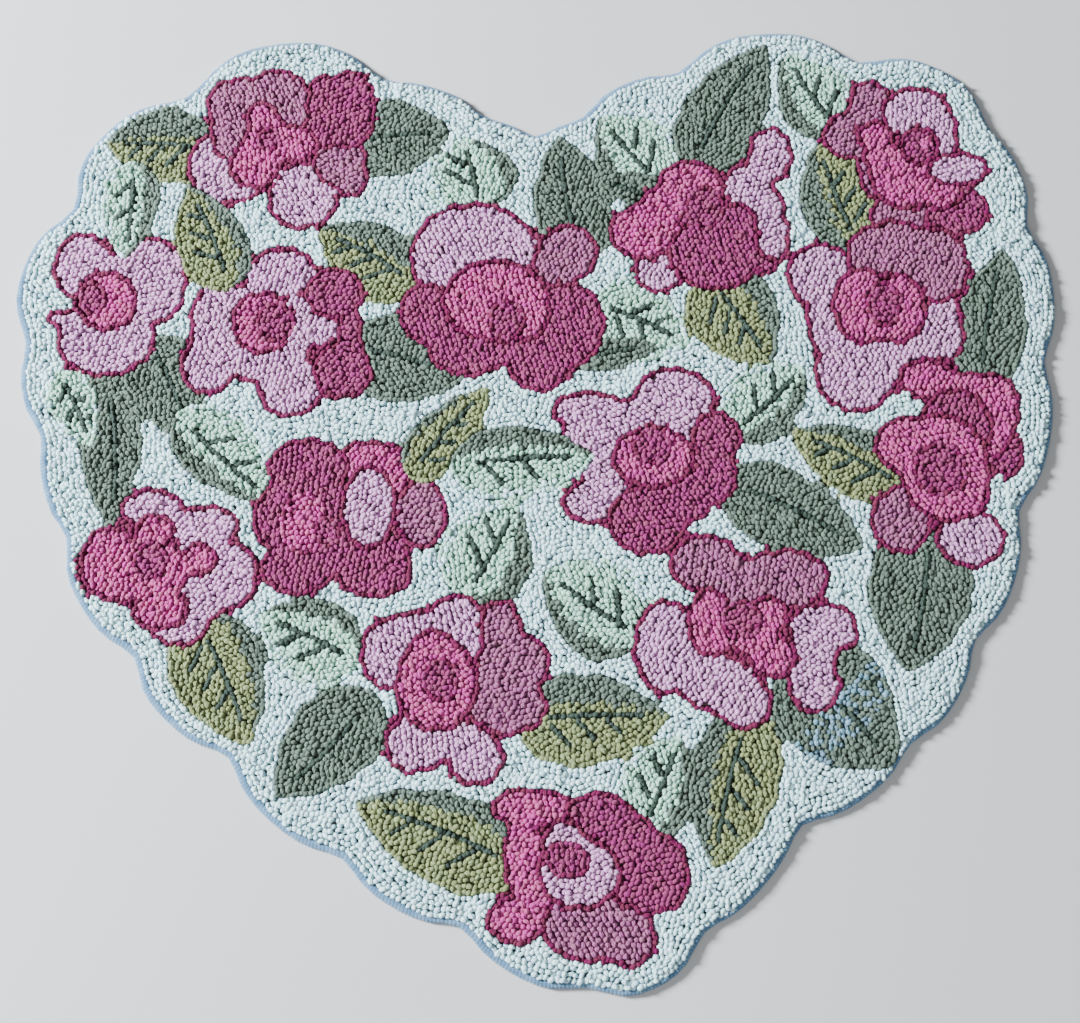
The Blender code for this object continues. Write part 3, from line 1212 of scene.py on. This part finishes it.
def add_pile(loops):
    """The loops of each yarn as a piece, or as several where there are many of them."""
    lean = foot_shifts(loops.places)
    pieces = []
    for yarn_name, yarn in YARNS.items():
        numbers = np.nonzero(loops.yarns == YARN_NUMBERS[yarn_name])[0]
        numbers = numbers[np.argsort(loops.places[numbers, 0], kind="stable")]
        parts = np.array_split(numbers, math.ceil(len(numbers) / PIECE_LOOPS_MOST))
        material = wool_material("wool_" + yarn_name, yarn)
        for part_number, part in enumerate(parts, start=1):
            name = f"pile_{yarn_name}" if len(parts) == 1 else f"pile_{yarn_name}_{part_number}"
            chosen = Loops(*[values[part] for values in loops])
            piece = add_object(name, loop_mesh(name, chosen, lean[part]), material)
            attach(piece, "root")
            pieces.append(piece)
    return pieces


def add_foundation():
    """The woven backing under the loops, a thin closed sheet."""
    outline = resampled(FIELD_EDGE, 6.0) + CHART_ORIGIN
    count = len(outline)
    flat = np.concatenate([outline, outline])
    height = np.repeat([0.05, BACKING_TOP], count)
    points = np.column_stack([flat, height]) * MM
    rim = np.arange(count)
    after = (rim + 1) % count
    underside = rim[::-1][None, :]
    upper = (count + rim)[None, :]
    side = np.stack([rim, after, count + after, count + rim], axis=1)
    mesh, corners = new_mesh("backing", points, [underside, upper, side])
    mesh.set_sharp_from_angle(angle=math.radians(40))
    add_bake_uv(mesh, points, corners)
    backing = add_object("backing", mesh, backing_material())
    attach(backing, "root")
    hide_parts(FIELD)
    return backing, outline


# The binding's section, from under its outer side over the top to its inner side, and how far each
# turn of yarn stands out there as a share of WRAP_DEPTH
BindingPoint = namedtuple("BindingPoint", "inset height ridge")
BINDING_SECTION = (
    BindingPoint(1.3, 0.1, 0.0),
    BindingPoint(0.3, 1.6, 0.6),
    BindingPoint(0.1, 3.4, 1.0),
    BindingPoint(0.9, 5.1, 1.0),
    BindingPoint(2.5, 6.2, 1.0),
    BindingPoint(5.0, 6.4, 1.0),
    BindingPoint(8.0, 5.6, 0.7),
    BindingPoint(8.6, 0.1, 0.0),
)
WRAP_PITCH = 3.7
WRAP_STATIONS = 4
WRAP_DEPTH = 0.55
WRAP_SLANT = 0.9

# The middle of that section, from which the turns swell out, in millimetres
ROLL_INSET = 3.0
ROLL_HEIGHT = 3.0
ROLL_HALF_HEIGHT = 3.2


def binding_frame():
    """Stations along the rug's edge, the outward direction at each, and the number of turns of yarn."""
    length = lengths_along(closed(RUG_EDGE))[-1]
    turns = int(round(length / WRAP_PITCH))
    edge = resampled(RUG_EDGE, length / (turns * WRAP_STATIONS))
    return edge, outline_normals(edge, 5), turns


def add_binding():
    """Yarn whipped over the edge: one closed roll with a ridge for every turn of the yarn."""
    edge, outward, turns = binding_frame()
    count = len(edge)
    along = np.arange(count) / count * turns
    uneven = 0.25 * np.sin(along / 2.9) + 0.15 * np.sin(along / 1.3 + 2)
    rings = []
    looks = []
    around = []
    for number, corner in enumerate(BINDING_SECTION):
        lag = WRAP_SLANT * number / (len(BINDING_SECTION) - 1)
        ridge = np.abs(np.sin(math.pi * (along + lag))) ** 0.7
        swell = corner.ridge * (WRAP_DEPTH * (ridge - 0.75) + 0.2 * uneven)
        rise = np.clip((corner.height - ROLL_HEIGHT) / ROLL_HALF_HEIGHT, -1, 1)
        apart = math.sqrt(max(0.0, 1 - rise ** 2)) * (1 if corner.inset < ROLL_INSET else -1)
        flat = edge + outward * (apart * swell - corner.inset)[:, None] + CHART_ORIGIN
        rings.append(np.column_stack([flat, np.maximum(corner.height + rise * swell, 0.05)]))
        look = np.ones((count, 4), np.float32)
        # Painted shade: less light in the colour in the grooves between the turns, by the section's ridge
        # share
        look[:, 1] = 1 - corner.ridge * (1 - ridge)
        looks.append(look)
        around.append(np.column_stack([along, np.full(count, 1.3 * number)]))
    points = np.concatenate(rings) * MM
    station = np.arange(count)
    after = (station + 1) % count
    walls = []
    for number in range(len(BINDING_SECTION)):
        here, there = number * count, (number + 1) % len(BINDING_SECTION) * count
        walls.append(np.stack([here + station, here + after, there + after, there + station], axis=1))
    mesh, corners = new_mesh("binding", points, [np.concatenate(walls)])
    add_looks(mesh, np.concatenate(looks))
    add_bake_uv(mesh, points, corners)
    add_uv(mesh, "Yarn", np.concatenate(around), corners)
    binding = add_object("binding", mesh, binding_material())
    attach(binding, "root")
    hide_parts(BINDING)
    return binding


# Room, light and camera

CAMERA_TILT = math.radians(10.2)
CAMERA_PLACE = (0.0049, -0.2583, 1.2785)
CAMERA_LENS = 43.3
FLOOR_REACH = 12.0


def add_floor():
    corners = [(-1, -1, 0), (1, -1, 0), (1, 1, 0), (-1, 1, 0)]
    points = FLOOR_REACH * np.array(corners)
    mesh, _ = new_mesh("floor", points, [np.arange(4)[None, :]])
    add_object("floor", mesh, floor_material())


def add_light(name, place, size, power, colour):
    data = bpy.data.lights.new(name, "AREA")
    data.shape = "DISK"
    data.size = size
    data.energy = power
    data.color = colour
    lamp = bpy.data.objects.new(name, data)
    lamp.location = place
    toward = -np.array(place)
    lamp.rotation_euler = (math.atan2(math.hypot(toward[0], toward[1]), -toward[2]), 0,
                           math.atan2(toward[1], toward[0]) - 0.5 * math.pi)
    bpy.context.scene.collection.objects.link(lamp)


def add_room():
    add_floor()
    world = bpy.data.worlds.new("room")
    world.use_nodes = True
    background = world.node_tree.nodes["Background"]
    background.inputs["Color"].default_value = (0.90, 0.95, 1.0, 1)
    background.inputs["Strength"].default_value = 0.32
    bpy.context.scene.world = world
    add_light("window", (-3.6, 1.0, 1.9), 1.0, 890.0, (0.88, 0.945, 1.0))
    add_light("fill", (-0.6, -1.6, 2.0), 1.8, 22.0, (0.94, 0.97, 1.0))


def add_camera():
    data = bpy.data.cameras.new("camera")
    data.sensor_width = 36.0
    data.lens = CAMERA_LENS
    camera = bpy.data.objects.new("camera", data)
    camera.location = CAMERA_PLACE
    camera.rotation_euler = (CAMERA_TILT, 0, 0)
    bpy.context.scene.collection.objects.link(camera)
    bpy.context.scene.camera = camera


def main():
    loops = hooked_loops()
    pile = add_pile(loops)
    backing, outline = add_foundation()
    add_binding()
    add_room()
    add_camera()
    bpy.context.view_layer.update()


main()
